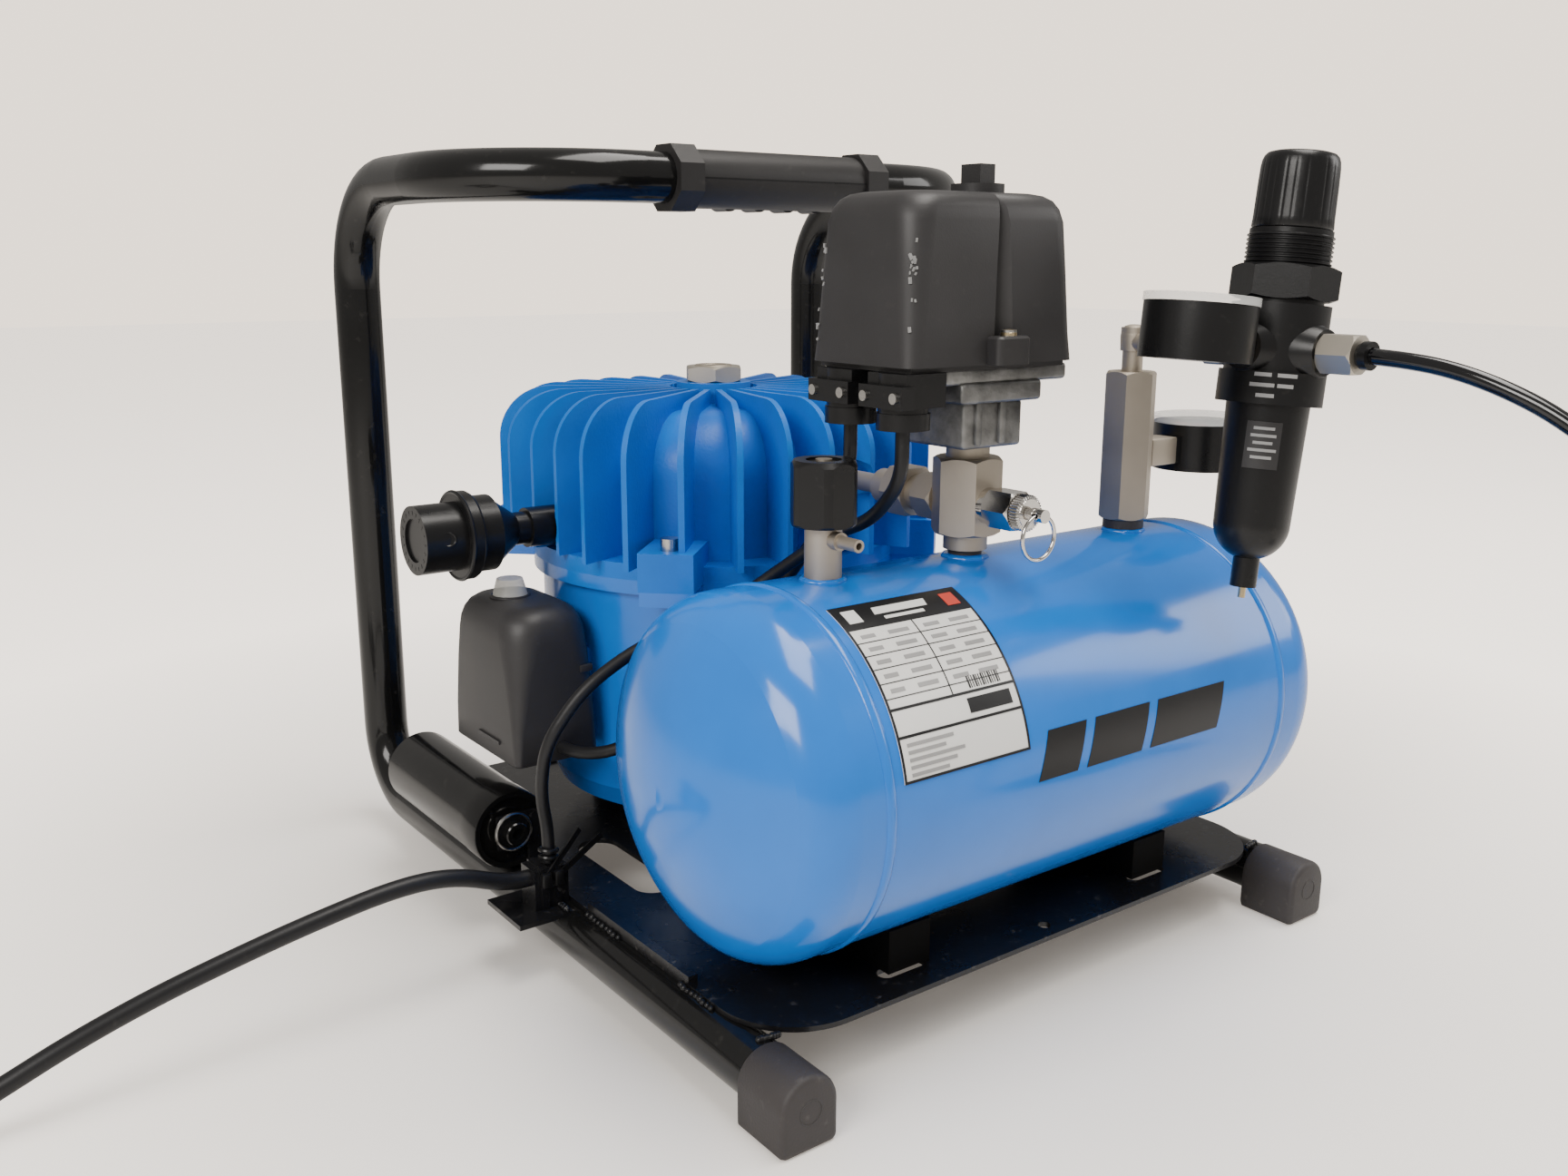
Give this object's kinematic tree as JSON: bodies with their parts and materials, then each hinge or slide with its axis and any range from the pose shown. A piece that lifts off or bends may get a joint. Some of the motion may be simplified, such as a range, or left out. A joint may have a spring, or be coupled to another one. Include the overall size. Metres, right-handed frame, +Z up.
{
  "type": "air compressor",
  "caption": "Portable air compressor: a finned motor pump and horizontal tank on a bent tube carrying frame with grip, pressure switch, regulator and gauges.",
  "frame": {"origin": "bottom centre of the machine, on the floor under its feet", "axes": "+X along the tank towards the regulator and gauges, +Y from the tank back to the motor, +Z up"},
  "size_m": [0.7257, 0.5957, 0.3298],
  "materials": {
    "blue_paint": "gloss",
    "black_paint": "gloss",
    "black_plastic": "satin",
    "gloss_black_plastic": "gloss",
    "rubber": "matte",
    "nickel": "polished",
    "chrome": "polished",
    "steel": "satin",
    "brass": "satin",
    "die_cast": "satin",
    "cast_iron": "rough",
    "clear_lens": "gloss",
    "clear_rubber": "satin",
    "label": "gloss",
    "needle_paint": "satin"
  },
  "bodies": {
    "machine": {"frame_tube": "black_paint", "rubber_feet": "rubber", "base_plate": "black_paint", "handle_grip": "black_plastic", "cord_bracket": "black_paint", "tank_ends": "blue_paint", "tank_shell": "blue_paint", "tank_saddles": "black_paint", "rating_plate": "label", "fitting_washers": "rubber", "outlet_valve_body": "nickel", "manifold_block": "nickel", "check_valve": "nickel", "safety_valve_body": "chrome", "switch_base": "die_cast", "switch_cover": "black_plastic", "switch_mechanism": "black_plastic", "cable_glands": "black_plastic", "switch_screws": "brass", "supply_column": "nickel", "column_elbow": "nickel", "gauge_cases": "black_plastic", "gauge_lenses": "clear_lens", "regulator_body": "black_plastic", "regulator_bonnet": "black_plastic", "regulator_nut": "black_plastic", "regulator_bowl": "gloss_black_plastic", "hose_fitting": "nickel", "motor_pot": "blue_paint", "finned_cover": "blue_paint", "cover_screws": "steel", "oil_plug": "nickel", "stator": "steel", "cylinder_block": "cast_iron", "motor_mounts": "rubber", "intake_filter": "black_plastic", "filter_cap": "black_plastic", "relay_box": "black_plastic", "capacitor": "gloss_black_plastic", "capacitor_bracket": "black_paint", "switch_cables": "rubber", "mains_cord": "rubber", "air_hose": "gloss_black_plastic", "mains_cord_coil": "rubber", "air_hose_coil": "gloss_black_plastic", "mains_plug": "black_plastic", "hose_connector": "nickel"},
    "outlet_knob": {"outlet_valve_knob": "black_plastic"},
    "valve_stem": {"safety_valve_stem": "chrome"},
    "pull_ring": {"key_ring": "chrome"},
    "switch_dial": {"switch_knob": "black_plastic"},
    "tank_needle": {"tank_gauge_needle": "needle_paint"},
    "outlet_needle": {"outlet_gauge_needle": "needle_paint"},
    "spindle": {"regulator_spindle": "steel"},
    "pressure_knob": {"regulator_knob": "black_plastic"},
    "drain": {"drain_pin": "brass"},
    "collet": {"hose_collet": "black_plastic"},
    "crank": {"rotor": "steel"},
    "pump_piston": {"piston": "steel"},
    "reset": {"reset_button": "clear_rubber"}
  },
  "joints": [
    {"name": "outlet_valve_turn", "type": "hinge", "parent": "machine", "child": "outlet_knob", "pos_m": [-0.07225, -0.09807, 0.2], "axis": [0, 0, 1], "range_deg": [0, 720]},
    {"name": "safety_valve_pull", "type": "slide", "parent": "machine", "child": "valve_stem", "axis": [0, -1, 0], "range_m": [0, 0.002], "stiffness_N_per_m": 2000},
    {"name": "ring_swing", "type": "hinge", "parent": "valve_stem", "child": "pull_ring", "pos_m": [-0.00225, -0.13608, 0.192], "axis": [1, 0, 0], "range_deg": [-60, 20]},
    {"name": "switch_turn", "type": "hinge", "parent": "machine", "child": "switch_dial", "pos_m": [-0.00025, -0.09657, 0.306], "axis": [0, 0, 1], "range_deg": [0, 90]},
    {"name": "tank_needle_turn", "type": "hinge", "parent": "machine", "child": "tank_needle", "pos_m": [0.13855, -0.09807, 0.21], "axis": [0, 0, -1], "range_deg": [0, 270]},
    {"name": "outlet_needle_turn", "type": "hinge", "parent": "machine", "child": "outlet_needle", "pos_m": [0.04397, -0.16457, 0.2541], "axis": [-0.0958, 0, -0.9954], "range_deg": [0, 270]},
    {"name": "pressure_turn", "type": "hinge", "parent": "machine", "child": "spindle", "pos_m": [0.09463, -0.16457, 0.27936], "axis": [0.0958, 0, 0.9954], "range_deg": [0, 1080]},
    {"name": "knob_lift", "type": "slide", "parent": "spindle", "child": "pressure_knob", "axis": [0.0958, 0, 0.9954], "range_m": [0, 0.003]},
    {"name": "drain_push", "type": "slide", "parent": "machine", "child": "drain", "axis": [0.0958, 0, 0.9954], "range_m": [0, 0.0015], "stiffness_N_per_m": 200},
    {"name": "collet_push", "type": "slide", "parent": "machine", "child": "collet", "axis": [0, 1, 0], "range_m": [0, 0.001], "stiffness_N_per_m": 1000},
    {"name": "crank_spin", "type": "hinge", "parent": "machine", "child": "crank", "pos_m": [-0.01575, 0.05543, 0.1], "axis": [0, 0, 1], "continuous": true},
    {"name": "piston_stroke", "type": "slide", "parent": "machine", "child": "pump_piston", "axis": [0, 1, 0], "range_m": [0, 0.012]},
    {"name": "reset_press", "type": "slide", "parent": "machine", "child": "reset", "axis": [0, 0, -1], "range_m": [0, 0.002], "stiffness_N_per_m": 400}
  ]
}
